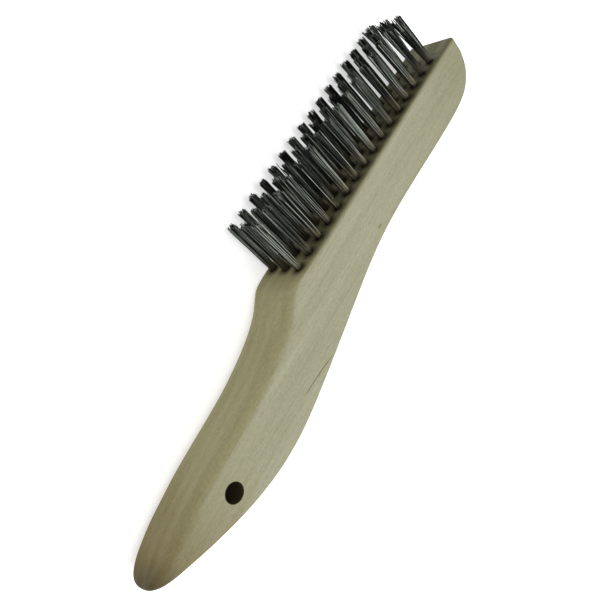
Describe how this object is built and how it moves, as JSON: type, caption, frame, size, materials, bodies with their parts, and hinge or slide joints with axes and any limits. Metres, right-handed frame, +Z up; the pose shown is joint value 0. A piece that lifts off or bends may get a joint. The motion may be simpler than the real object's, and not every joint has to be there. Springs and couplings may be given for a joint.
{
  "type": "wire scratch brush",
  "caption": "Curved one-piece wooden block and handle carrying close rows of stiff steel wire tufts set in drilled holes, with a hang hole through the handle end.",
  "frame": {"origin": "middle of the bounding box in plan, on the surface the brush lies on", "axes": "+X along the brush towards the toe, +Y the way the wires point, +Z up, square to the flat side it lies on"},
  "size_m": [0.26, 0.0658, 0.025],
  "materials": {
    "wood": "unfinished, dull",
    "steel_wire": "bare drawn wire"
  },
  "bodies": {
    "root": {"block": "wood", "tuft_01_1": "steel_wire", "tuft_01_2": "steel_wire", "tuft_01_3": "steel_wire", "tuft_02_1": "steel_wire", "tuft_02_2": "steel_wire", "tuft_02_3": "steel_wire", "tuft_03_1": "steel_wire", "tuft_03_2": "steel_wire", "tuft_03_3": "steel_wire", "tuft_04_1": "steel_wire", "tuft_04_2": "steel_wire", "tuft_04_3": "steel_wire", "tuft_05_1": "steel_wire", "tuft_05_2": "steel_wire", "tuft_05_3": "steel_wire", "tuft_06_1": "steel_wire", "tuft_06_2": "steel_wire", "tuft_06_3": "steel_wire", "tuft_07_1": "steel_wire", "tuft_07_2": "steel_wire", "tuft_07_3": "steel_wire", "tuft_08_1": "steel_wire", "tuft_08_2": "steel_wire", "tuft_08_3": "steel_wire", "tuft_09_1": "steel_wire", "tuft_09_2": "steel_wire", "tuft_09_3": "steel_wire", "tuft_10_1": "steel_wire", "tuft_10_2": "steel_wire", "tuft_10_3": "steel_wire", "tuft_11_1": "steel_wire", "tuft_11_2": "steel_wire", "tuft_11_3": "steel_wire", "tuft_12_1": "steel_wire", "tuft_12_2": "steel_wire", "tuft_12_3": "steel_wire", "tuft_13_1": "steel_wire", "tuft_13_2": "steel_wire", "tuft_13_3": "steel_wire", "tuft_14_1": "steel_wire", "tuft_14_2": "steel_wire", "tuft_14_3": "steel_wire", "tuft_15_1": "steel_wire", "tuft_15_2": "steel_wire", "tuft_15_3": "steel_wire", "tuft_16_1": "steel_wire", "tuft_16_2": "steel_wire", "tuft_16_3": "steel_wire"}
  },
  "joints": []
}
